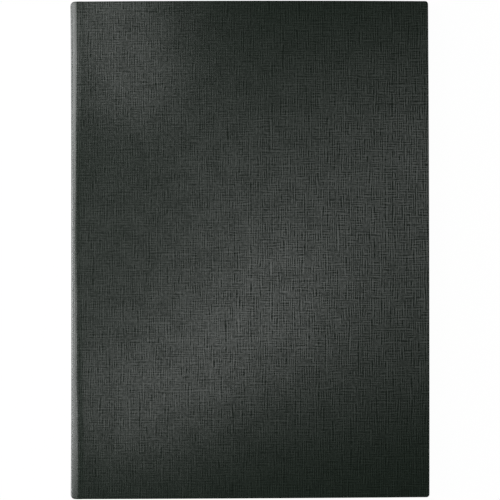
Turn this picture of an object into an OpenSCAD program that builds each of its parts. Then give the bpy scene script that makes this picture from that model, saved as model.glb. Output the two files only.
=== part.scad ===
// Menu folder: two cloth-covered boards on a soft spine, with clear pocket leaves bound inside

/* [Cover] */
// Width of the closed folder, from the spine to the fore-edge
cover_w = 230.5; // [228:0.5:250]
// Height of the closed folder, from tail to head
cover_h = 320; // [314:1:350]
// Thickness of the closed folder
folder_t = 12; // [11:0.5:16]
// Thickness of the grey board in each cover
board_t = 2; // [1.6:0.1:2.4]
// Thickness of the covering cloth
cloth_t = 0.4; // [0.3:0.05:0.45]
// Thickness of the paper that lines the inside
lining_t = 0.25; // [0.15:0.05:0.3]
// Width of the cloth that is folded in round the board edges
turn_in = 16; // [12:1:20]
// Border of folded-in cloth that the lining leaves bare
lining_margin = 4; // [3:0.5:6]
// Radius of the cover corners, seen from the front
corner_r = 2; // [1:0.1:4]
// Radius that the cloth makes over a board edge
edge_r = 0.9; // [0.6:0.1:1]

/* [Spine] */
// Outer radius of the rounded shoulder between spine and cover
shoulder_r = 3.5; // [3:0.1:4.5]
// Radius of the spine's corners at head and tail, seen from the front
spine_corner_r = 2.2; // [1:0.1:2.6]
// Thickness of the card strip that stiffens the spine
spine_t = 1.5; // [1.4:0.1:2]
// Width of the groove between the shoulder and the cover board
groove_w = 4; // [3:0.5:5]
// Depth of that groove
groove_depth = 0.3; // [0.2:0.1:0.8]

/* [Leaves] */
// Number of clear pocket leaves
leaf_count = 5; // [1:1:6]
// Height of a leaf
leaf_h = 306; // [300:1:308]
// Width of the pocket in a leaf
pocket_w = 212.5; // [211:0.5:212.5]
// Thickness of the clear film
film_t = 0.15; // [0.1:0.01:0.18]
// Width of the welded seams round a pocket
weld_w = 1.5; // [1:0.1:2]
// Radius of the outer corners of a leaf
leaf_r = 3; // [2:0.5:6]
// How far the front film stops below the back film at the pocket mouth
mouth_lip = 4; // [2:0.5:8]
// Width of the strip that binds each leaf
strip_w = 5; // [4:0.5:5.5]
// Distance from the cover board's edge to the binding
strip_inset = 0.9; // [0.6:0.1:1.2]
// Thickness of the tape that wraps the binding
tape_t = 0.25; // [0.15:0.05:0.3]
// Width of the tape's foot, glued to the lining beyond the strips
tape_foot = 12; // [6:1:20]

/* [Hidden] */
$fn = 64;
// Free height between the binding and the front cover
binding_play = 0.4;
// Free height between one leaf and the next
leaf_play = 0.3;
// Clearance where the tape's upper flange stops short of the leaves
tape_setback = 0.3;
// Cut between the folded-in flaps where they meet in a mitre
mitre_gap = 0.3;
// Length that the mitre stays away from the corner
mitre_setback = 2;

wrap_t = board_t + 2 * cloth_t;
cover_t = wrap_t + lining_t;
board_u = shoulder_r + groove_w;
cover_len = cover_w - board_u;
spine_len = folder_t - 2 * shoulder_r;
lining_h = cover_h - 2 * lining_margin;
window_h = cover_h - 2 * turn_in;
step_t = cloth_t + lining_t;
groove_r = (groove_w * groove_w / 4 + groove_depth * groove_depth) / (2 * groove_depth);
groove_angle = asin(groove_w / 2 / groove_r);
strip_u = board_u + strip_inset;
leaf_u = strip_u + strip_w;
leaf_w = pocket_w + weld_w;
leaf_bottom = cover_t + tape_t;
leaf_pitch = (folder_t - 2 * cover_t - 2 * tape_t - binding_play) / leaf_count;
leaf_t = leaf_pitch - leaf_play;
stack_top = leaf_bottom + leaf_count * leaf_pitch;

cloth_color = [0.2, 0.21, 0.205];
lining_color = [0.11, 0.11, 0.115];
board_color = [0.56, 0.53, 0.48];
card_color = [0.8, 0.78, 0.72];
film_color = [0.85, 0.9, 0.92, 0.4];
weld_color = [0.72, 0.78, 0.8, 0.7];
strip_color = [0.13, 0.13, 0.14];
tape_color = [0.07, 0.07, 0.075];

COVER_NODES = ["board", "cloth", "infill", "lining"];
SPINE_NODES = ["spine_strip", "spine_cloth", "spine_lining"];
HINGE_NODES = ["hinge_cloth", "hinge_lining"];
LEAF_NODES = ["strip", "front_film", "back_film", "weld"];

// Shared placing: every piece is drawn with the spine's outer face at x = 0

module in_folder() {
    translate([-cover_w / 2, 0, 0]) children();
}

// The back cover is drawn as it lies, and the front cover is the same cover turned over
module on_side(side) {
    in_folder()
        if (side == "front")
            translate([0, 0, folder_t]) mirror([0, 0, 1]) children();
        else
            children();
}

module along_y(len) {
    rotate([90, 0, 0]) linear_extrude(len, center = true) children();
}

module along_x(len) {
    rotate([90, 0, 90]) linear_extrude(len) children();
}

// Outline with two rounded corners at its far end
module soft_end(len, wid, r) {
    translate([0, -wid / 2]) square([len - r, wid]);
    translate([0, r - wid / 2]) square([len, wid - 2 * r]);
    for (s = [-1, 1])
        translate([len - r, s * (wid / 2 - r)]) circle(r);
}

// Outline with all four corners rounded
module soft_bar(len, wid, r) {
    for (s = [0, 1])
        mirror([s, 0]) soft_end(len / 2, wid, r);
}

// Section of cloth folded in at head and tail, outer face at x = 0, round the core that is given as its child
module hem_profile(core_t, r) {
    t = core_t + 2 * cloth_t;
    difference() {
        translate([t / 2, 0]) rotate(90) soft_bar(cover_h, t, r);
        children();
        translate([cloth_t + core_t, -window_h / 2]) square([2 * cloth_t, window_h]);
    }
}

// Section of the lining that lies on such a hem, at the given depth below the outer face
module lining_profile(depth) {
    difference() {
        translate([depth, -lining_h / 2]) square([step_t, lining_h]);
        for (s = [-1, 1])
            translate([depth - cloth_t, s * (cover_h - turn_in) / 2 - turn_in / 2]) square([2 * cloth_t, turn_in]);
    }
}

// Bends a section round the shoulder between spine and cover
module round_shoulder() {
    translate([shoulder_r, 0, shoulder_r])
        rotate([90, 180, 0]) rotate_extrude(angle = 90) translate([shoulder_r, 0]) mirror([1, 0]) children();
}

// Bends a section into the groove beside the cover board
module in_groove() {
    intersection() {
        translate([shoulder_r + groove_w / 2, 0, groove_depth - groove_r])
            rotate([90, groove_angle - 90, 0])
                rotate_extrude(angle = 2 * groove_angle) translate([groove_r, 0]) children();
        translate([shoulder_r, -cover_h / 2, 0]) cube([groove_w, cover_h, folder_t / 2]);
    }
}

// Covers

module cover_block(h, t, inset) {
    translate([board_u, 0, 0])
        linear_extrude(t) soft_end(cover_len - inset, h - 2 * inset, corner_r - inset);
}

module board_shape() {
    translate([0, 0, cloth_t]) cover_block(cover_h, board_t, cloth_t);
}

module soft_plate() {
    intersection() {
        cover_block(cover_h, wrap_t, 0);
        translate([board_u, 0, wrap_t / 2]) along_y(cover_h) soft_end(cover_len, wrap_t, edge_r);
        translate([board_u, 0, wrap_t / 2]) along_x(cover_len) soft_bar(cover_h, wrap_t, edge_r);
    }
}

module infill_shape() {
    translate([board_u, -window_h / 2, cloth_t + board_t])
        cube([cover_len - turn_in, window_h, cloth_t]);
}

module mitre_cuts() {
    cut_len = turn_in * sqrt(2) - 2 * mitre_setback;
    for (s = [-1, 1])
        translate([cover_w - turn_in / 2, s * (cover_h - turn_in) / 2, wrap_t])
            rotate([0, 0, s * 45]) cube([cut_len, mitre_gap, 2 * cloth_t], center = true);
}

// Cloth in the groove, doubled at head and tail, where it climbs the board's edge
module groove_hem() {
    in_groove() hem_profile(0, cloth_t / 2);
    for (s = [-1, 1])
        translate([board_u - cloth_t, s * (cover_h - turn_in) / 2 - turn_in / 2, 2 * cloth_t])
            cube([cloth_t, turn_in, board_t]);
}

module cover_board(side) {
    color(board_color) on_side(side) board_shape();
}

module cover_cloth(side) {
    color(cloth_color) on_side(side) {
        difference() {
            soft_plate();
            board_shape();
            infill_shape();
            mitre_cuts();
        }
        groove_hem();
    }
}

module cover_infill(side) {
    color(card_color) on_side(side) infill_shape();
}

module cover_lining(side) {
    edge_u = board_u - step_t;
    color(lining_color) on_side(side)
        difference() {
            union() {
                translate([edge_u, -lining_h / 2, wrap_t])
                    cube([cover_w - lining_margin - edge_u, lining_h, lining_t]);
                translate([edge_u, -lining_h / 2, 2 * cloth_t]) cube([step_t, lining_h, board_t]);
                in_groove() lining_profile(cloth_t);
            }
            groove_hem();
        }
}

// Spine and its two cloth hinges

module along_spine() {
    in_folder() translate([0, 0, shoulder_r]) linear_extrude(spine_len) children();
}

// Outline of the spine side seen from the front, with its two corners rounded
module spine_plan(inset) {
    translate([shoulder_r, 0])
        mirror([1, 0]) soft_end(shoulder_r - inset, cover_h - 2 * inset, spine_corner_r - inset);
}

module strip_profile() {
    intersection() {
        translate([cloth_t, cloth_t - cover_h / 2]) square([spine_t, cover_h - 2 * cloth_t]);
        spine_plan(cloth_t);
    }
}

module spine_strip() {
    color(board_color) along_spine() strip_profile();
}

module spine_cloth() {
    color(cloth_color) along_spine()
        intersection() {
            hem_profile(spine_t, edge_r) strip_profile();
            spine_plan(0);
        }
}

module spine_lining() {
    color(lining_color) along_spine() lining_profile(cloth_t + spine_t);
}

module hinge_cloth(side) {
    color(cloth_color) on_side(side)
        intersection() {
            round_shoulder() hem_profile(0, cloth_t / 2);
            linear_extrude(shoulder_r) spine_plan(0);
        }
}

module hinge_lining(side) {
    color(lining_color) on_side(side) round_shoulder() lining_profile(cloth_t);
}

// Binding and pocket leaves, counted from the top of the closed stack

module binding_tape() {
    wall_u = strip_u - tape_t;
    color(tape_color) in_folder() along_y(leaf_h) {
        translate([wall_u, cover_t]) square([leaf_u + tape_foot - wall_u, tape_t]);
        translate([wall_u, cover_t]) square([tape_t, stack_top - cover_t + tape_t]);
        translate([wall_u, stack_top]) square([leaf_u - tape_setback - wall_u, tape_t]);
    }
}

module at_leaf(k) {
    in_folder() translate([leaf_u, 0, stack_top - k * leaf_pitch + leaf_play / 2]) children();
}

module leaf_strip(k) {
    color(strip_color) in_folder()
        translate([strip_u, -leaf_h / 2, stack_top - k * leaf_pitch]) cube([strip_w, leaf_h, leaf_pitch]);
}

module leaf_back_film(k) {
    color(film_color) at_leaf(k) linear_extrude(film_t) soft_end(leaf_w, leaf_h, leaf_r);
}

module leaf_front_film(k) {
    color(film_color) at_leaf(k) translate([0, 0, leaf_t - film_t])
        linear_extrude(film_t)
            intersection() {
                soft_end(leaf_w, leaf_h, leaf_r);
                translate([0, -leaf_h / 2]) square([leaf_w, leaf_h - mouth_lip]);
            }
}

module leaf_weld(k) {
    seam_t = leaf_t - 2 * film_t;
    color(weld_color) at_leaf(k) translate([0, -leaf_h / 2, film_t]) {
        translate([pocket_w, leaf_r, 0]) cube([weld_w, leaf_h - leaf_r - mouth_lip, seam_t]);
        cube([leaf_w - leaf_r, weld_w, seam_t]);
    }
}

for (side = ["back", "front"]) {
    cover_board(side);
    cover_cloth(side);
    cover_infill(side);
    cover_lining(side);
    hinge_cloth(side);
    hinge_lining(side);
}
spine_strip();
spine_cloth();
spine_lining();
binding_tape();
for (k = [1 : leaf_count]) {
    leaf_strip(k);
    leaf_front_film(k);
    leaf_back_film(k);
    leaf_weld(k);
}
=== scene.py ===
import math

import bmesh
import bpy
import numpy as np
from mathutils import Matrix, Vector


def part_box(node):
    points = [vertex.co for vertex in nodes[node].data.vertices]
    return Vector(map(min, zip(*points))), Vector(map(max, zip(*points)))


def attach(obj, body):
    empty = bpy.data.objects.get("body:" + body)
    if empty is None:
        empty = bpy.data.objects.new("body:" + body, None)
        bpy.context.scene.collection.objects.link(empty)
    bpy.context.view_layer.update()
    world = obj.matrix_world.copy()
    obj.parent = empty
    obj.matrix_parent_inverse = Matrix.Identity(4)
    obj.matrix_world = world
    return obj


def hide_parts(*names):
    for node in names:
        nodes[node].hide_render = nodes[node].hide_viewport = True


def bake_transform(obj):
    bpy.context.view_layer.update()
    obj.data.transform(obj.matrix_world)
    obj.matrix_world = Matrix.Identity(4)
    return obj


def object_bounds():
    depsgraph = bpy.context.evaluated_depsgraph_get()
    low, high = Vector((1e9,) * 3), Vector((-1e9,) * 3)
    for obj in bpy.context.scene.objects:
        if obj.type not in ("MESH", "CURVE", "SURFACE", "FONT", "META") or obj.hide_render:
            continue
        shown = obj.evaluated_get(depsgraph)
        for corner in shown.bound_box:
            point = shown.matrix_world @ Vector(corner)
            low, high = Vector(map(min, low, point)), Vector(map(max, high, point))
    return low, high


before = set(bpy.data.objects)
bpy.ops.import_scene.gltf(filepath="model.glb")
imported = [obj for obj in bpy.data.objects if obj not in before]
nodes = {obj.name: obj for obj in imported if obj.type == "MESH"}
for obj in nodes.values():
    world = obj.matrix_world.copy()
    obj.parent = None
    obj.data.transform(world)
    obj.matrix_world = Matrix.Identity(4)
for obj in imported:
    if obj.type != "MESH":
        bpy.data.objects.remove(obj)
cad_box = [list(corner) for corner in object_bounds()]
MM = 0.001

# Grey board and infill card
# Each cover is stiffened by a sheet of pressed grey board, cut square. A thin card levels the inside of a
# cover between the folded-in edges of the cloth. Both are glued in.


def wire(tree, kind, inputs=(), **settings):
    """Adds a shader node with its settings, and with each input set to a value or wired to a socket."""
    node = tree.nodes.new("ShaderNode" + kind)
    for name, value in settings.items():
        setattr(node, name, value)
    for socket, value in dict(inputs).items():
        if isinstance(value, bpy.types.NodeSocket):
            tree.links.new(value, node.inputs[socket])
        else:
            node.inputs[socket].default_value = value
    return node


def calc(tree, operation, *values):
    """The outcome of one sum."""
    return wire(tree, "Math", dict(enumerate(values)), operation=operation).outputs[0]


def spread(tree, value, low, high, to_low=0.0, to_high=1.0):
    """Carries the stretch from low to high over to another one, with soft ends."""
    limits = {"Value": value, "From Min": low, "From Max": high, "To Min": to_low, "To Max": to_high}
    return wire(tree, "MapRange", limits, interpolation_type="SMOOTHSTEP").outputs[0]


def tint(tree, share, dark, light):
    """A colour between dark and light."""
    return wire(tree, "Mix", {0: share, 6: (*dark, 1), 7: (*light, 1)}, data_type="RGBA").outputs[2]


def scaled(tree, place, factors):
    """A place stretched by its own factor along each axis."""
    return wire(tree, "VectorMath", {0: place, 1: factors}, operation="MULTIPLY").outputs[0]


def cloud(tree, place, scale, detail=2.0, roughness=0.5, **settings):
    """Soft irregular patches, from about 0.2 to 0.8."""
    inputs = {"Vector": place, "Scale": scale, "Detail": detail, "Roughness": roughness}
    return wire(tree, "TexNoise", inputs, **settings).outputs[0]


def effect_group(name, inputs, outputs):
    """A new shader group and its own input and output sockets."""
    tree = bpy.data.node_groups.new(name, "ShaderNodeTree")
    for label, kind in inputs.items():
        tree.interface.new_socket(label, in_out="INPUT", socket_type="NodeSocket" + kind)
    for label, kind in outputs.items():
        tree.interface.new_socket(label, in_out="OUTPUT", socket_type="NodeSocket" + kind)
    return tree, tree.nodes.new("NodeGroupInput").outputs, tree.nodes.new("NodeGroupOutput").inputs


def new_finish(name, roughness):
    """A material, its tree and its surface shader."""
    finish = bpy.data.materials.new(name)
    finish.use_nodes = True
    shader = finish.node_tree.nodes["Principled BSDF"]
    shader.inputs["Roughness"].default_value = roughness
    return finish, finish.node_tree, shader


def relief(tree, shader, height, depth, strength=1.0):
    """Presses a height over the surface into the shader's normal."""
    bump = wire(tree, "Bump", {"Height": height, "Distance": depth, "Strength": strength})
    tree.links.new(bump.outputs[0], shader.inputs["Normal"])


def paint(piece, finish):
    piece.data.materials.clear()
    piece.data.materials.append(finish)


def make_paper_fibre():
    """Pressed fibres: a cloudy tone with flecks, and a fine tooth."""
    tree, given, made = effect_group(
        "Paper fibre",
        {"Place": "Vector", "Fibres per metre": "Float"},
        {"Tone": "Float", "Tooth": "Float"},
    )
    mould = cloud(tree, given["Place"], 60.0, 3.0)
    strands = scaled(tree, given["Place"], (1.0, 0.22, 1.0))
    fibre = cloud(tree, strands, given["Fibres per metre"], 3.0, 0.65)
    tooth = cloud(tree, given["Place"], given["Fibres per metre"], 4.0, 0.7)
    flecks = spread(tree, fibre, 0.60, 0.72)
    tone = calc(tree, "MULTIPLY_ADD", mould, 0.6, calc(tree, "MULTIPLY", fibre, 0.4))
    tree.links.new(calc(tree, "MULTIPLY_ADD", flecks, 0.25, tone), made["Tone"])
    tree.links.new(tooth, made["Tooth"])
    return tree


paper_fibre = make_paper_fibre()


def fibrous(name, dark, light, fibres, tooth, roughness):
    """Board, card or paper."""
    finish, tree, shader = new_finish(name, roughness)
    place = wire(tree, "TexCoord").outputs["Object"]
    fibre = wire(tree, "Group", {"Place": place, "Fibres per metre": fibres}, node_tree=paper_fibre)
    tree.links.new(tint(tree, fibre.outputs["Tone"], dark, light), shader.inputs["Base Color"])
    relief(tree, shader, fibre.outputs["Tooth"], tooth)
    return finish


grey_board = fibrous("grey board", (0.12, 0.11, 0.095), (0.36, 0.33, 0.28), 1400.0, 0.10 * MM, 0.9)
infill_card = fibrous("infill card", (0.42, 0.38, 0.30), (0.70, 0.66, 0.56), 1900.0, 0.05 * MM, 0.85)
for name in ("back_board", "front_board"):
    paint(nodes[name], grey_board)
for name in ("back_infill", "front_infill"):
    paint(nodes[name], infill_card)

# Covering cloth
# One sheet of coated black bookcloth with a pressed linen grain goes round both boards and the spine strip,
# and its edges are folded in and glued. It is five pieces here, cut beside both shoulders and at both edges
# of the spine.

spine_x, _, _ = cad_box[0]
fore_x, half_height, thickness = cad_box[1]
cloth_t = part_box("back_board")[0].z
wrap_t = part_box("back_cloth")[1].z
hem_t = 2 * cloth_t
board_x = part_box("back_board")[0].x
shoulder_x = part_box("back_hinge_cloth")[1].x
shoulder_r = shoulder_x - spine_x
spine_wrap_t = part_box("spine_strip")[1].x + cloth_t - spine_x
turn_in = fore_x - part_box("back_infill")[1].x
shoulder_w = 3.9 * MM
shoulder_drop = 1.96 * MM
shoulder_power = 1.6
sag_w = 4.5 * MM
sag_depth = 0.225 * MM
sag_end = spine_x + shoulder_w + sag_w
seam_gap = 2.4 * MM
seam_x = spine_x + shoulder_w + seam_gap
taper_w = 5.0 * MM
plain_step = 6 * MM
climb_w = 1.1 * MM
climb_lead = 1.1
spine_thinning = 1.4 * MM
corner_r = 2.0 * MM
spine_corner_r = 2.2 * MM
edge_r = 0.75 * MM
head_flare = 0.46 * MM
shoulder_swell = 0.80 * MM
shoulder_share = 0.62
slack_half = 84 * MM
slack_fade = 43 * MM
fore_bow = 0.30 * MM
head_bow = 0.42 * MM
tail_bow = 0.17 * MM
head_skew = 0.0010
tail_skew = 0.0027
sheet_share = 0.9
merge_gap = 0.002 * MM
crease_angle = math.radians(50)


def smooth(value):
    """Rises softly from 0 to 1."""
    share = np.clip(value, 0, 1)
    return share * share * (3 - 2 * share)


def joint_sag(x):
    """How far the cloth sags over the joint, which comes level slowly over the board."""
    return sag_depth * (np.clip(sag_end - x, 0, None) / sag_w) ** 2


def board_rise(x):
    """0 over the joint and 1 over the board, with a soft climb up the board's edge."""
    return smooth((x - board_x) / climb_w + climb_lead)


def wrapped_t(x):
    """Thickness of what the cloth is folded round: doubled cloth over the joint, then the board."""
    return hem_t + (wrap_t - hem_t) * board_rise(x)


def settled(x, y):
    """Glued covers dry a little out of true: the free edges bow out, and head and tail lean."""
    across = x / fore_x
    up = y / half_height
    head = head_bow * (1 - across**2) + head_skew * x
    tail = -tail_bow * (1 - across**2) + tail_skew * x
    return x + fore_bow * (1 - up**2) * max(across, 0), y + (head * (1 + up) + tail * (1 - up)) / 2


def fold_over(face_insets, flap_insets):
    """How cloth goes over an edge, from the outer face to the end of its flap: for each point the inset,
    the inset in edge radii, the depth in edge radii and the depth in thicknesses."""
    turns = np.radians(np.linspace(0, 90, 7))
    face = [(inset, 0, 0, 0) for inset in face_insets]
    over = [(0, 1 - math.sin(a), 1 - math.cos(a), 0) for a in turns]
    under = [(0, 1 - math.sin(a), math.cos(a) - 1, 1) for a in turns[::-1]]
    flap = [(inset, 0, 0, 1) for inset in flap_insets]
    return np.array(face + over + under + flap, float)


def folded(fold, thick, radius):
    """Inset, depth and place on the flat sheet of each point of a fold."""
    inset = fold[:, 0] + fold[:, 1] * radius
    depth = fold[:, 2] * radius + fold[:, 3] * thick
    steps = np.hypot(np.diff(inset), np.diff(depth))
    return inset, depth, np.concatenate([[-inset[0]], np.cumsum(steps) - inset[0]])


def sheet_piece(name, grids, thick, facing):
    """A sheet from grids of points on its outer face, with their places on the flat, thickened inwards."""
    bm = bmesh.new()
    laid = bm.loops.layers.uv.new("Flat sheet")
    for points, flat in grids:
        verts = [[bm.verts.new(point) for point in row] for row in points]
        for i in range(len(verts) - 1):
            for j in range(len(verts[0]) - 1):
                corners = [(i, j), (i, j + 1), (i + 1, j + 1), (i + 1, j)]
                face = bm.faces.new([verts[a][b] for a, b in corners])
                for loop, (a, b) in zip(face.loops, corners):
                    loop[laid].uv = flat[a][b]
    bmesh.ops.remove_doubles(bm, verts=bm.verts, dist=merge_gap)
    bmesh.ops.dissolve_degenerate(bm, dist=merge_gap / 2, edges=bm.edges)
    bm.normal_update()
    largest = max(bm.faces, key=lambda face: face.calc_area())
    if largest.normal.dot(facing) < 0:
        bmesh.ops.reverse_faces(bm, faces=bm.faces)
        bm.normal_update()
    under = {vert: bm.verts.new(vert.co - vert.normal * thick) for vert in list(bm.verts)}
    rim = [edge.link_loops[0] for edge in bm.edges if edge.is_boundary]
    backs = [list(face.loops)[::-1] for face in bm.faces]
    sides = [[loop.link_loop_next, loop] for loop in rim]
    for loops in backs:
        back_face = bm.faces.new([under[loop.vert] for loop in loops])
        for new_loop, loop in zip(back_face.loops, loops):
            new_loop[laid].uv = loop[laid].uv
    for far, near in sides:
        side_face = bm.faces.new([far.vert, near.vert, under[near.vert], under[far.vert]])
        for new_loop, loop in zip(side_face.loops, (far, near, near, far)):
            new_loop[laid].uv = loop[laid].uv
    mesh = bpy.data.meshes.new(name)
    bm.to_mesh(mesh)
    bm.free()
    mesh.shade_smooth()
    mesh.set_sharp_from_angle(angle=crease_angle)
    piece = bpy.data.objects.new(name, mesh)
    bpy.context.scene.collection.objects.link(piece)
    return piece


def at_side(side, depth):
    """Height of a place that lies so deep below a cover's outer face."""
    return depth if side == "back" else thickness - depth


def shoulder_path():
    """Section of the cloth from the spine's edge over the shoulder to the seam: places and depths, the
    direction inwards, the length so far and the thickness folded round."""
    turn = np.radians(np.linspace(0, 90, 25))
    over = spine_x + shoulder_w * (1 - np.cos(turn) ** (2 / shoulder_power))
    over_depth = joint_sag(over) + shoulder_drop * (1 - np.sin(turn) ** (2 / shoulder_power))
    joint = np.linspace(spine_x + shoulder_w, seam_x, 7)[1:]
    x = np.concatenate([[spine_x, spine_x], over, joint])
    depth = np.concatenate([np.linspace(shoulder_r, over_depth[0], 3)[:2], over_depth, joint_sag(joint)])
    slope = np.stack([np.gradient(x), np.gradient(depth)], 1)
    slope[0] = (0, -1)
    slope[-1] = (1, 0)
    slope /= np.linalg.norm(slope, axis=1)[:, None]
    length = np.concatenate([[0], np.cumsum(np.hypot(np.diff(x), np.diff(depth)))])
    thick = hem_t + (spine_wrap_t - hem_t) * (1 - smooth(length / spine_thinning))
    return x, depth, np.stack([-slope[:, 1], slope[:, 0]], 1), length, thick


def flared(x, y, outer=0.0):
    """The spine stands out a little at head and tail, where the folded-in cloth is doubled. The shoulders
    of the outer layer are wider there than along the slack middle."""
    fade = np.clip((seam_x - x) / (seam_x - spine_x), 0, 1)
    over_shoulder = smooth((1 - fade) / shoulder_share) * (1 - smooth((x - seam_x) / taper_w))
    swell = outer * shoulder_swell * over_shoulder * smooth((abs(y) - slack_half) / slack_fade)
    return x + swell - head_flare * fade * (abs(y) / half_height) ** 4


def corner_drop(x):
    """How far head and tail draw back towards the spine's edge, where the corner is rounded."""
    from_centre = np.clip(spine_x + spine_corner_r - x, 0, spine_corner_r)
    return spine_corner_r - math.sqrt(spine_corner_r**2 - from_centre**2)


def hemmed(stations, fold, radius):
    """Cloth that runs along a section and is folded in at head and tail. A station is a place, a height,
    the direction inwards, the thickness and the length along the flat sheet."""
    points, flat = [], []
    for x, z, (in_x, in_z), thick, along in stations:
        inset, depth, reach = folded(fold, thick, min(radius, thick / 2))
        head = np.maximum(half_height - corner_drop(x) - inset, 0)
        laid = half_height + reach
        ends = [*zip(-head[::-1], depth[::-1]), *zip(head, depth)]
        places = [(flared(x + in_x * d, y, 1 - d / thick), y, z + in_z * d) for y, d in ends]
        points.append([(*settled(px, py), pz) for px, py, pz in places])
        flat.append([(along, -v) for v in laid[::-1]] + [(along, v) for v in laid])
    return points, flat


face_insets = np.concatenate([[half_height], np.array([120, 80, 40, 16, 6, 2, 1.1]) * MM])
flap_insets = np.array([2.5, 8, turn_in / MM]) * MM
fold = fold_over(face_insets, flap_insets)
path_x, path_depth, path_in, path_length, path_t = shoulder_path()
spine_half = thickness / 2 - shoulder_r


def hinge_cloth(side):
    """The cloth over one shoulder, as far as the seam with the cover."""
    facing = 1 if side == "front" else -1
    stations = [
        (x, at_side(side, d), (i[0], -facing * i[1]), t, facing * (spine_half + s))
        for x, d, i, s, t in zip(path_x, path_depth, path_in, path_length, path_t)
    ]
    grid = hemmed(stations, fold, edge_r)
    return sheet_piece(f"{side}_hinge_cloth_sheet", [grid], cloth_t * sheet_share, (-1, 0, facing))


def spine_cloth():
    """The flat stretch of cloth on the back of the spine."""
    heights = np.linspace(shoulder_r, thickness - shoulder_r, 5)
    stations = [(spine_x, z, (1, 0), spine_wrap_t, z - thickness / 2) for z in heights]
    grid = hemmed(stations, fold, edge_r)
    return sheet_piece("spine_cloth_sheet", [grid], cloth_t * sheet_share, (-1, 0, 0))


def cover_outline(station, inset):
    """A place on the outline of a cover, moved in, with the corner rounded or, further in, mitred."""
    run, end, along = station
    reach = max(inset, corner_r)
    if run == "fore edge":
        limit = half_height - reach
        return fore_x - inset, min(max(along, -limit), limit)
    if run == "corner":
        r = max(corner_r - inset, 0)
        x = fore_x - reach + r * math.cos(along)
        return x, end * (half_height - reach + r * math.sin(along))
    return min(along, fore_x - reach), end * (half_height - inset)


def cover_stations():
    """Round the three free sides of a cover, from the seam at the tail to the seam at the head."""
    taper_end = seam_x + taper_w
    near = np.linspace(seam_x, taper_end, 26)
    far = np.linspace(taper_end + plain_step, fore_x - corner_r, 8)
    edge = np.concatenate([near, far])
    turns = np.radians(np.linspace(0, 90, 7))
    rise = np.linspace(-half_height + corner_r, half_height - corner_r, 13)
    return (
        [("side", -1, x) for x in edge]
        + [("corner", -1, a) for a in turns[::-1]]
        + [("fore edge", 0, y) for y in rise]
        + [("corner", 1, a) for a in turns]
        + [("side", 1, x) for x in edge[::-1]]
    )


def cover_cloth(side):
    """The cloth of one cover, from the outer face over the three free edges to the flaps inside."""
    facing = 1 if side == "front" else -1
    start = spine_half + path_length[-1] - seam_x
    points, flat = [], []
    for station in cover_stations():
        thick = wrapped_t(station[2]) if station[0] == "side" else wrap_t
        inset, depth, reach = folded(fold, thick, min(edge_r, thick / 2))
        places = [cover_outline(station, i) for i in inset]
        heights = [at_side(side, joint_sag(x) + d) for (x, _), d in zip(places, depth)]
        outer = 1 - depth / thick
        points.append([(*settled(flared(x, y, o), y), z) for (x, y), o, z in zip(places, outer, heights)])
        laid = [cover_outline(station, -r) for r in reach]
        flat.append([(facing * (start + x), y) for x, y in laid])
    return sheet_piece(f"{side}_cover_cloth_sheet", [(points, flat)], cloth_t * sheet_share, (0, 0, facing))


def make_linen_grain():
    """Linen grain, pressed into the coating: uneven threads along and across, laid over each other. The
    roller pressed a little harder towards the front cover's fore-edge."""
    tree, given, made = effect_group(
        "Linen grain",
        {"Place": "Vector", "Threads per metre": "Float"},
        {"Relief": "Float"},
    )
    light_from = 57 * MM
    firm_from = 243 * MM
    across = wire(tree, "SeparateXYZ", {0: given["Place"]}).outputs[0]
    press = spread(tree, across, light_from, firm_from, 0.88, 1.5)
    counted = {0: given["Place"], "Scale": given["Threads per metre"]}
    threads = wire(tree, "VectorMath", counted, operation="SCALE").outputs[0]
    threads = scaled(tree, threads, (1.0, 0.92, 1.0))
    axes = wire(tree, "SeparateXYZ", {0: threads}).outputs

    def patches(factors, low, high, least, most):
        """Soft patches, stretched along the threads, from least to most."""
        run = scaled(tree, threads, factors)
        return spread(tree, cloud(tree, run, 1.0, 1.0, noise_dimensions="2D"), low, high, least, most)

    def thread_set(count, wander, swell):
        """Round threads side by side, which stray from their rows and swell and thin along their length."""
        stray = patches(wander, 0.2, 0.8, -0.33, 0.33)
        wave = calc(tree, "COSINE", calc(tree, "MULTIPLY", calc(tree, "ADD", count, stray), 2 * math.pi))
        return calc(tree, "MULTIPLY", wave, patches(swell, 0.34, 0.68, 0.0, 1.15))

    warp = thread_set(axes[0], (0.36, 0.06, 1), (0.42, 0.30, 1))
    weft = thread_set(axes[1], (0.06, 0.36, 1), (0.28, 0.42, 1))
    laid = calc(tree, "MULTIPLY_ADD", warp, 0.36, calc(tree, "MULTIPLY", weft, 0.21))
    pits = patches((0.8, 0.8, 1), 0.2, 0.8, 0.32, 0.56)
    blotches = patches((0.13, 0.13, 1), 0.2, 0.8, 0.0, 0.12)
    uneven = calc(tree, "ADD", pits, blotches)
    tree.links.new(calc(tree, "MULTIPLY_ADD", laid, press, uneven), made["Relief"])
    return tree


def make_handling():
    """Faint cloudy patches of polish and dullness that use leaves on a surface."""
    tree, given, made = effect_group("Handling", {"Place": "Vector"}, {"Dullness": "Float"})
    broad = cloud(tree, given["Place"], 14.0, 2.0)
    rub = cloud(tree, scaled(tree, given["Place"], (1.0, 0.4, 1.0)), 90.0, 3.0)
    fine = calc(tree, "MULTIPLY", rub, 0.35)
    tree.links.new(calc(tree, "MULTIPLY_ADD", broad, 0.65, fine), made["Dullness"])
    return tree


linen_grain = make_linen_grain()
handling = make_handling()
rub_end = 9.5 * MM
rub_fade = 3.5 * MM


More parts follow.
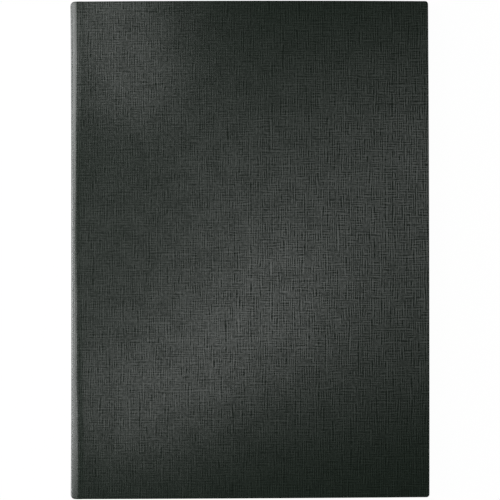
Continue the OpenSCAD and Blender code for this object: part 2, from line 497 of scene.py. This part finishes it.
def woven(name, threads, dark, light, roughness, polish, depth):
    """Coated cloth: painted shade darkens its colour between the threads; the coat is polished on top of
    them and where hands rub the spine.
    """
    finish, tree, shader = new_finish(name, roughness)
    shader.inputs["Specular IOR Level"].default_value = 0.15
    shader.inputs["Coat Roughness"].default_value = 0.19
    shader.inputs["Coat IOR"].default_value = 1.6
    coords = wire(tree, "TexCoord").outputs
    laid = {"Place": coords["UV"], "Threads per metre": threads}
    height = wire(tree, "Group", laid, node_tree=linen_grain).outputs["Relief"]
    rub = wire(tree, "Group", {"Place": coords["Object"]}, node_tree=handling).outputs[0]
    top = spread(tree, height, -0.05, 1.05, 0.05, 1.0)
    # Painted shade: the base colour goes dark where the grain sinks between the threads and lighter on their
    # tops.
    tree.links.new(tint(tree, top, dark, light), shader.inputs["Base Color"])
    worn = calc(tree, "SUBTRACT", rub, 0.5)
    tree.links.new(calc(tree, "MULTIPLY_ADD", worn, 0.10, roughness), shader.inputs["Roughness"])
    across = wire(tree, "SeparateXYZ", {0: coords["UV"]}).outputs[0]
    rubbed = spread(tree, calc(tree, "ABSOLUTE", across), rub_end - rub_fade, rub_end, 0.85, 0.0)
    smoothed = calc(tree, "MAXIMUM", top, rubbed)
    coated = calc(tree, "MULTIPLY", smoothed, calc(tree, "MULTIPLY_ADD", worn, -0.6 * polish, polish))
    tree.links.new(coated, shader.inputs["Coat Weight"])
    relief(tree, shader, height, depth)
    return finish


def bend_over_joint(piece, side):
    """Bakes the piece's place into its mesh, the same way for either side."""
    if side == "back":
        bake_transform(piece)
    else:
        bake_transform(piece)


# The darker colour is painted shade between the threads, the lighter one the cloth on their tops.
cover_cloth_finish = woven(
    "cover cloth", 670.0, (0.003, 0.008, 0.004), (0.012, 0.025, 0.015), 0.55, 1.0, 0.095 * MM
)
for side, name in (("back", "back_cover"), ("front", "front_cover")):
    cover = cover_cloth(side)
    paint(cover, cover_cloth_finish)
    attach(cover, name)
    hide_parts(f"{side}_cloth")
    hinge = hinge_cloth(side)
    paint(hinge, cover_cloth_finish)
    bend_over_joint(hinge, side)
    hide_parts(f"{side}_hinge_cloth")
spine = spine_cloth()
paint(spine, cover_cloth_finish)
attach(spine, "spine")
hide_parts("spine_cloth")

# Spine strip
# A strip of the same grey board as in the covers stiffens the spine. It is cut shorter than the spine,
# because the cloth that it is glued to is folded in over its two ends.

strip_low, strip_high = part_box("spine_strip")
strip_size = strip_high - strip_low
strip_size.y = 2 * (half_height - spine_corner_r - hem_t)
strip_at = Matrix.LocRotScale((strip_low + strip_high) / 2, None, strip_size)
block = bmesh.new()
bmesh.ops.create_cube(block, size=1.0, matrix=strip_at)
strip_mesh = bpy.data.meshes.new("spine_strip_board")
block.to_mesh(strip_mesh)
block.free()
strip = bpy.data.objects.new("spine_strip_board", strip_mesh)
bpy.context.scene.collection.objects.link(strip)
paint(strip, grey_board)
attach(strip, "spine")
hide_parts("spine_strip")

# Lining paper
# Black paper is glued inside both covers, down into the joints and across the spine, over the folded-in
# cloth. It is cut square, leaves a border of cloth bare, and the edges of what lies under it show through.

lining_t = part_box("back_lining")[1].z - wrap_t
lining_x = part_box("back_lining")[1].x
lining_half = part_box("back_lining")[1].y
infill_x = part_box("back_infill")[1].x
hem_y = half_height - turn_in
hem_step_w = 1.2 * MM
seam_w = 0.9 * MM
seam_dip = 0.06 * MM
joint_power = 2.4
climb_end = board_x + 0.6 * MM
plain_margin = 12 * MM
spine_lining_x = spine_x + spine_wrap_t + lining_t
joint_depth = joint_sag(seam_x) + hem_t + lining_t
plain_y = np.array([0, 50, 100, 150]) * MM
hem_step_y = hem_y + np.linspace(-1, 1, 9) * hem_step_w
lining_y = np.concatenate([plain_y[:3], hem_step_y, plain_y[3:], [lining_half]])
lining_y = np.concatenate([-lining_y[:0:-1], lining_y])
off_hem = 1 - smooth((abs(lining_y) - hem_y) / hem_step_w + 0.5)


def seam_line(distance):
    """1 on a seam under the paper, fading to both sides."""
    return 1 - smooth(abs(distance) / seam_w)


def lined(stations):
    """Paper along a section. A station is a place and a height over a hem, the direction inwards, how far
    the paper sinks at each of its places from tail to head, and the length along the flat sheet."""
    points, flat = [], []
    for x, z, (in_x, in_z), sink, along in stations:
        points.append([(flared(x - in_x * s, y), y, z - in_z * s) for y, s in zip(lining_y, sink)])
        flat.append([(along, y) for y in lining_y])
    return points, flat


def cover_lining(side):
    inwards = 1 if side == "back" else -1
    climb = np.linspace(seam_x, climb_end, 15)
    plain = np.linspace(board_x + plain_margin, infill_x - plain_margin, 7)
    seam = infill_x + np.linspace(-1, 1, 5) * seam_w
    stations = []
    for x in np.concatenate([climb, plain, seam, [lining_x]]):
        depth = wrapped_t(x) + lining_t + joint_sag(x) * (1 - board_rise(x))
        over_infill = board_rise(x) * (1 - smooth((x - infill_x) / seam_w))
        end_seams = seam_line(abs(lining_y) - hem_y) * over_infill
        fore_seam = seam_line(x - infill_x) * off_hem
        sink = cloth_t * (1 - board_rise(x)) * off_hem + seam_dip * np.maximum(end_seams, fore_seam)
        stations.append((x, at_side(side, depth), (0, inwards), sink, x))
    return sheet_piece(f"{side}_lining_sheet", [lined(stations)], lining_t * sheet_share, (0, 0, inwards))


def hinge_lining(side):
    inwards = 1 if side == "back" else -1
    turn = np.radians(np.linspace(0, 90, 15))
    x = spine_lining_x + (seam_x - spine_lining_x) * (1 - np.cos(turn) ** (2 / joint_power))
    depth = joint_depth + (shoulder_r - joint_depth) * (1 - np.sin(turn) ** (2 / joint_power))
    slope = np.stack([np.gradient(x), np.gradient(depth)], 1)
    slope /= np.linalg.norm(slope, axis=1)[:, None]
    slope[0] = (0, -1)
    slope[-1] = (1, 0)
    sink = cloth_t * off_hem
    stations = [
        (u, at_side(side, d), (-s[1], inwards * s[0]), sink, u)
        for u, d, s in zip(x, depth, slope)
    ]
    name = f"{side}_hinge_lining_sheet"
    return sheet_piece(name, [lined(stations)], lining_t * sheet_share, (1, 0, inwards))


def spine_lining():
    heights = np.linspace(shoulder_r, thickness - shoulder_r, 5)
    stations = [(spine_lining_x, z, (1, 0), cloth_t * off_hem, z) for z in heights]
    return sheet_piece("spine_lining_sheet", [lined(stations)], lining_t * sheet_share, (1, 0, 0))


lining_paper = fibrous(
    "lining paper", (0.008, 0.008, 0.0085), (0.030, 0.030, 0.031), 2600.0, 0.04 * MM, 0.62
)
for side, name in (("back", "back_cover"), ("front", "front_cover")):
    lining = cover_lining(side)
    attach(lining, name)
    joint = hinge_lining(side)
    bend_over_joint(joint, side)
    for piece, node in ((lining, f"{side}_lining"), (joint, f"{side}_hinge_lining")):
        paint(piece, lining_paper)
        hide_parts(node)
lining = spine_lining()
paint(lining, lining_paper)
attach(lining, "spine")
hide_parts("spine_lining")

# Binding
# Each leaf ends in a narrow strip of black plastic, to which its films are welded. The strips are stacked,
# and a woven tape glued round them runs out on to the lining of the back cover and holds the stack there.

strip_names = sorted(name for name in nodes if name.startswith("leaf_") and name.endswith("_strip"))
leaf_names = [name.removesuffix("_strip") for name in strip_names]
tape_low, tape_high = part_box("binding_tape")
tape_t = min(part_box(f"{leaf}_strip")[0].z for leaf in leaf_names) - tape_low.z
leaf_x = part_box(f"{leaf_names[0]}_strip")[1].x
tape_gap = 0.3 * MM
tape_end_x = leaf_x - tape_gap
tape_r = 0.45 * MM


def binding_tape():
    turns = np.radians(np.linspace(0, 90, 6))
    bend_x = tape_low.x + tape_r
    foot = [(x, tape_low.z) for x in np.linspace(tape_high.x, bend_x, 5)[:-1]]
    lower = [(bend_x - tape_r * math.sin(a), tape_low.z + tape_r * (1 - math.cos(a))) for a in turns]
    upper = [(bend_x - tape_r * math.cos(a), tape_high.z - tape_r * (1 - math.sin(a))) for a in turns]
    section = np.array(foot + lower + upper + [(tape_end_x, tape_high.z)])
    along = np.concatenate([[0], np.cumsum(np.hypot(*np.diff(section, axis=0).T))])
    places = np.linspace(tape_low.y, tape_high.y, 9)
    points = [[(x, y, z) for y in places] for x, z in section]
    flat = [[(s, y) for y in places] for s in along]
    return sheet_piece("binding_tape_sheet", [(points, flat)], tape_t * sheet_share, (0, 0, -1))


def make_strip_finish():
    """Black plastic with a faint drawn grain along its length."""
    finish, tree, shader = new_finish("binding strip", 0.45)
    place = wire(tree, "TexCoord").outputs["Object"]
    rub = wire(tree, "Group", {"Place": place}, node_tree=handling).outputs[0]
    drawn = cloud(tree, scaled(tree, place, (1.0, 0.02, 1.0)), 4000.0, 2.0)
    tone = tint(tree, drawn, (0.008, 0.008, 0.009), (0.020, 0.020, 0.022))
    tree.links.new(tone, shader.inputs["Base Color"])
    tree.links.new(calc(tree, "MULTIPLY_ADD", rub, 0.3, 0.3), shader.inputs["Roughness"])
    relief(tree, shader, drawn, 0.02 * MM)
    return finish


tape = binding_tape()
# The darker colour is painted shade between the threads, the lighter one the tape on their tops.
tape_finish = woven(
    "binding tape", 2400.0, (0.004, 0.004, 0.0045), (0.022, 0.022, 0.023), 0.8, 0.12, 0.05 * MM
)
paint(tape, tape_finish)
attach(tape, "back_cover")
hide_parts("binding_tape")
strip_finish = make_strip_finish()
for name in strip_names:
    paint(nodes[name], strip_finish)

# Pocket leaves
# A leaf is a pocket of two clear plastic films, welded together along the fore-edge and the tail. The head
# stays open, and the front film stops short there, so that a sheet slips in.

bend_w = 12 * MM
film_r = 3 * MM
film_plain_half = 140 * MM
weld_w = 1.5 * MM


def film_columns(length):
    """Places along a film: close together near the strip, then to the corner, then round it."""
    bend = np.linspace(0, bend_w, 25)
    plain = np.linspace(bend_w, length - film_r, 9)[1:]
    corner = length - film_r + film_r * np.sin(np.radians(np.linspace(0, 90, 8)))[1:]
    return np.concatenate([bend, plain, corner])


def leaf_film(leaf, film):
    low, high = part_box(f"{leaf}_{film}_film")
    length = high.x - low.x
    half = -low.y
    tail_corner = -half + film_r * (1 - np.cos(np.radians(np.linspace(0, 90, 8))))
    plain = np.linspace(-film_plain_half, film_plain_half, 9)
    rows = np.concatenate([tail_corner, plain, -tail_corner[::-1]])
    points, flat = [], []
    for u in film_columns(length):
        past = max(u - (length - film_r), 0)
        limit = half - film_r + math.sqrt(film_r**2 - min(past, film_r) ** 2)
        places = np.clip(rows, -limit, min(limit, high.y))
        points.append([(low.x + u, y, high.z) for y in places])
        flat.append([(u, y) for y in places])
    return sheet_piece(f"{leaf}_{film}_film_sheet", [(points, flat)], high.z - low.z, (0, 0, 1))


def leaf_weld(leaf):
    low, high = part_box(f"{leaf}_weld")
    film_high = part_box(f"{leaf}_back_film")[1]
    fore = (np.linspace(high.x - weld_w, high.x, 3), np.linspace(-film_high.y + film_r, high.y, 9))
    bent = np.linspace(low.x, low.x + bend_w, 25)
    plain = np.linspace(low.x + bend_w, high.x - film_r, 9)[1:]
    tail = (np.concatenate([bent, plain]), low.y + np.linspace(0, weld_w, 3))
    grids = []
    for columns, rows in (fore, tail):
        points = [[(x, y, high.z) for y in rows] for x in columns]
        flat = [[(x, y) for y in rows] for x in columns]
        grids.append((points, flat))
    return sheet_piece(f"{leaf}_weld_sheet", grids, high.z - low.z, (0, 0, 1))


def make_film_finish():
    """Clear soft plastic: glossy, a little wavy, with cloudy smears from hands."""
    finish, tree, shader = new_finish("clear film", 0.08)
    shader.inputs["Base Color"].default_value = (0.955, 0.975, 0.98, 1)
    shader.inputs["Transmission Weight"].default_value = 1.0
    shader.inputs["IOR"].default_value = 1.46
    place = wire(tree, "TexCoord").outputs["Object"]
    smear = wire(tree, "Group", {"Place": place}, node_tree=handling).outputs[0]
    tree.links.new(spread(tree, smear, 0.42, 0.66, 0.03, 0.16), shader.inputs["Roughness"])
    relief(tree, shader, cloud(tree, scaled(tree, place, (1.0, 0.35, 1.0)), 28.0, 1.0), 0.35 * MM)
    return finish


def make_weld_finish():
    """Welded seam: the two films pressed into one, frosted by the fine hatch of the tool."""
    finish, tree, shader = new_finish("welded seam", 0.45)
    shader.inputs["Transmission Weight"].default_value = 0.6
    shader.inputs["IOR"].default_value = 1.46
    axes = wire(tree, "SeparateXYZ", {0: wire(tree, "TexCoord").outputs["Object"]}).outputs
    hatch_pitch = 0.8 * MM
    slants = [calc(tree, slant, axes[0], axes[1]) for slant in ("ADD", "SUBTRACT")]
    waves = [calc(tree, "MULTIPLY", slant, 2 * math.pi / hatch_pitch) for slant in slants]
    rising, falling = [calc(tree, "SINE", wave) for wave in waves]
    hatch = calc(tree, "MULTIPLY_ADD", calc(tree, "MULTIPLY", rising, falling), 0.5, 0.5)
    tree.links.new(tint(tree, hatch, (0.62, 0.66, 0.68), (0.88, 0.91, 0.92)), shader.inputs["Base Color"])
    tree.links.new(spread(tree, hatch, 0, 1, 0.55, 0.35), shader.inputs["Roughness"])
    relief(tree, shader, hatch, 0.08 * MM)
    return finish


film_finish = make_film_finish()
weld_finish = make_weld_finish()
for leaf in leaf_names:
    made = []
    for film in ("front", "back"):
        made.append((leaf_film(leaf, film), f"{leaf}_{film}_film", film_finish, "clear_film"))
    made.append((leaf_weld(leaf), f"{leaf}_weld", weld_finish, "weld_seam"))
    for piece, node, finish, slot in made:
        paint(piece, finish)
        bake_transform(piece)
        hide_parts(node)

# Studio
# A white floor and a white backdrop round the horizon, in a dim room. Four lamps beside the spine light its
# shoulder. Five hang above the cover, where the cloth shows them as soft streaks, each at its own height so
# that none hides another.

floor_half = 6.0
floor_gap = 0.05 * MM
floor_glow = 1.03
glow_share = 0.95
floor_mesh = bpy.data.meshes.new("floor")
floor_corners = [(x * floor_half, y * floor_half, 0) for x, y in ((-1, -1), (1, -1), (1, 1), (-1, 1))]
floor_mesh.from_pydata(floor_corners, [], [(0, 1, 2, 3)])
floor = bpy.data.objects.new("floor", floor_mesh)
floor.location.z = -floor_gap
bpy.context.scene.collection.objects.link(floor)


def make_floor_finish():
    """White to the camera, to gloss and through glass, with a share of true shade so that shadows stay."""
    finish, tree, shader = new_finish("white floor", 0.8)
    shader.inputs["Base Color"].default_value = (0.8, 0.8, 0.8, 1)
    seen = wire(tree, "LightPath").outputs
    clear = calc(tree, "MAXIMUM", seen["Is Camera Ray"], seen["Is Glossy Ray"])
    clear = calc(tree, "MAXIMUM", clear, seen["Is Transmission Ray"])
    glow = wire(tree, "Emission", {"Color": (1, 1, 1, 1), "Strength": floor_glow})
    share = calc(tree, "MULTIPLY", clear, glow_share)
    mix = wire(tree, "MixShader", {0: share, 1: shader.outputs[0], 2: glow.outputs[0]})
    tree.links.new(mix.outputs[0], tree.nodes["Material Output"].inputs["Surface"])
    return finish


paint(floor, make_floor_finish())


def lamp(name, size_x, size_y, watts, place, aim, turn=0.0):
    """A rectangular lamp that points at aim, turned about its own axis."""
    light = bpy.data.lights.new(name, "AREA")
    light.shape = "RECTANGLE"
    light.size = size_x
    light.size_y = size_y
    light.energy = watts
    piece = bpy.data.objects.new(name, light)
    bpy.context.scene.collection.objects.link(piece)
    piece.location = place
    to = Vector(aim) - Vector(place)
    piece.rotation_mode = "QUATERNION"
    facing = to.to_track_quat("-Z", "Y")
    piece.rotation_quaternion = facing @ Matrix.Rotation(turn, 3, "Z").to_quaternion()
    piece.visible_camera = False
    return piece


spine_foot = Vector((spine_x, 0, thickness / 2))


def spine_lamp(name, length, rise, watts, lift, y):
    """A lamp a metre away from the spine, lifted by an angle from the floor, that points at the spine."""
    aim = spine_foot + Vector((0, y, 0))
    away = Vector((-math.cos(math.radians(lift)), 0, math.sin(math.radians(lift))))
    lamp(name, length, rise, watts, aim + away, aim)


spine_lamp("low strip", length=1.2, rise=0.14, watts=6.2, lift=4, y=0.10)
spine_lamp("middle strip", length=0.7, rise=0.14, watts=2.15, lift=28, y=0.07)
spine_lamp("tail softbox", length=0.26, rise=0.66, watts=2.0, lift=52, y=-0.165)
spine_lamp("head softbox", length=0.35, rise=0.44, watts=2.4, lift=45, y=0.26)


def cover_lamp(name, length, width, watts, place, turn):
    """A lamp above the cover that looks straight down, turned by an angle from the cover's width."""
    x, y, _ = place
    lamp(name, length, width, watts, place, (x, y, 0), math.radians(turn))


cover_lamp("lower strip", length=0.38, width=0.12, watts=0.25, place=(-0.06, -0.14, 1.10), turn=33)
cover_lamp("wide softbox", length=0.90, width=0.40, watts=0.80, place=(0.07, -0.03, 1.12), turn=10)
cover_lamp("corner softbox", length=1.10, width=0.40, watts=0.74, place=(0.45, 0.16, 1.14), turn=10)
cover_lamp("head fill", length=0.27, width=0.25, watts=0.42, place=(-0.47, 0.33, 1.18), turn=0)
cover_lamp("head strip", length=0.55, width=0.11, watts=0.54, place=(-0.23, 0.47, 1.16), turn=-74)

room_light = 0.022
backdrop_low = 0.10
backdrop_high = 0.70
world = bpy.data.worlds.new("dim room")
bpy.context.scene.world = world
world.use_nodes = True
room = world.node_tree
sky = room.nodes["Background"]
sky.inputs["Color"].default_value = (1, 1, 1, 1)
seen = wire(room, "LightPath").outputs
rise = wire(room, "SeparateXYZ", {0: wire(room, "TexCoord").outputs["Generated"]}).outputs[2]
backdrop = spread(room, rise, backdrop_low, backdrop_high, 1.0, 0.0)
backdrop = calc(room, "MULTIPLY", seen["Is Glossy Ray"], backdrop)
white = calc(room, "MAXIMUM", seen["Is Camera Ray"], seen["Is Transmission Ray"])
white = calc(room, "MAXIMUM", white, backdrop)
room.links.new(calc(room, "MULTIPLY_ADD", white, 1 - room_light, room_light), sky.inputs["Strength"])

camera_place = Vector((-6.04, -7.94, 911.35)) * MM
camera_tilt = (0.4813, -0.3834, -0.0971)
camera_data = bpy.data.cameras.new("camera")
camera_data.sensor_width = 36.0
camera_data.lens = 100.641
camera = bpy.data.objects.new("camera", camera_data)
camera.location = camera_place
camera.rotation_euler = [math.radians(angle) for angle in camera_tilt]
bpy.context.scene.collection.objects.link(camera)
bpy.context.scene.camera = camera
bpy.context.scene.view_settings.view_transform = "Standard"
bpy.context.scene.cycles.max_bounces = 48
bpy.context.scene.cycles.transmission_bounces = 48
